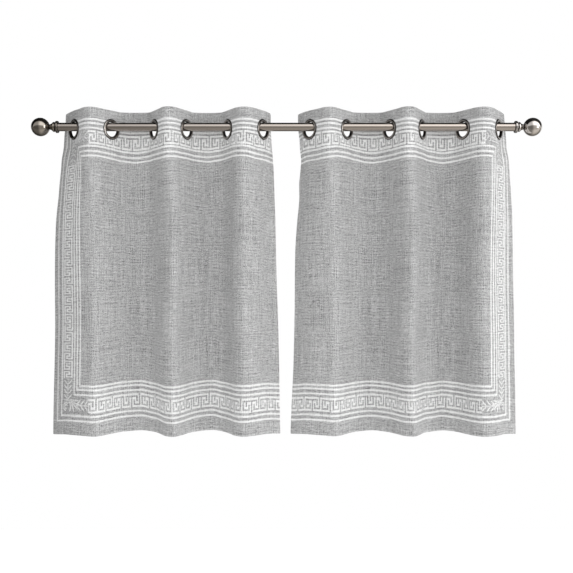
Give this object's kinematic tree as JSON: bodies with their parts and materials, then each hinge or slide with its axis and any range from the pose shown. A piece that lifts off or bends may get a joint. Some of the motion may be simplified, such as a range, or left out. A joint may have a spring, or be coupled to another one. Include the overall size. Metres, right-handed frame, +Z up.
{
  "type": "cafe curtain pair on a rod",
  "caption": "Pair of short eyelet curtain panels in grey slubbed cloth with a white meander border, hung in uneven folds on a round metal rod with ball ends.",
  "frame": {"origin": "on the rod's axis at its mid length, level with the wall brackets that carry it", "axes": "+X along the rod to the right as seen from the room, -Y towards the room, +Z up"},
  "size_m": [1.448, 0.107, 0.917],
  "materials": {
    "cloth": "matt slubbed linen look, printed in white",
    "eyelet_metal": "satin antique nickel",
    "rod_metal": "satin antique nickel"
  },
  "bodies": {
    "root": {"panel_left": "cloth", "eyelet_left_1": "eyelet_metal", "washer_left_1": "eyelet_metal", "eyelet_left_2": "eyelet_metal", "washer_left_2": "eyelet_metal", "eyelet_left_3": "eyelet_metal", "washer_left_3": "eyelet_metal", "eyelet_left_4": "eyelet_metal", "washer_left_4": "eyelet_metal", "eyelet_left_5": "eyelet_metal", "washer_left_5": "eyelet_metal", "eyelet_left_6": "eyelet_metal", "washer_left_6": "eyelet_metal", "panel_right": "cloth", "eyelet_right_1": "eyelet_metal", "washer_right_1": "eyelet_metal", "eyelet_right_2": "eyelet_metal", "washer_right_2": "eyelet_metal", "eyelet_right_3": "eyelet_metal", "washer_right_3": "eyelet_metal", "eyelet_right_4": "eyelet_metal", "washer_right_4": "eyelet_metal", "eyelet_right_5": "eyelet_metal", "washer_right_5": "eyelet_metal", "eyelet_right_6": "eyelet_metal", "washer_right_6": "eyelet_metal", "rod": "rod_metal", "finial_left": "rod_metal", "collar_left": "rod_metal", "finial_right": "rod_metal", "collar_right": "rod_metal"}
  },
  "joints": []
}
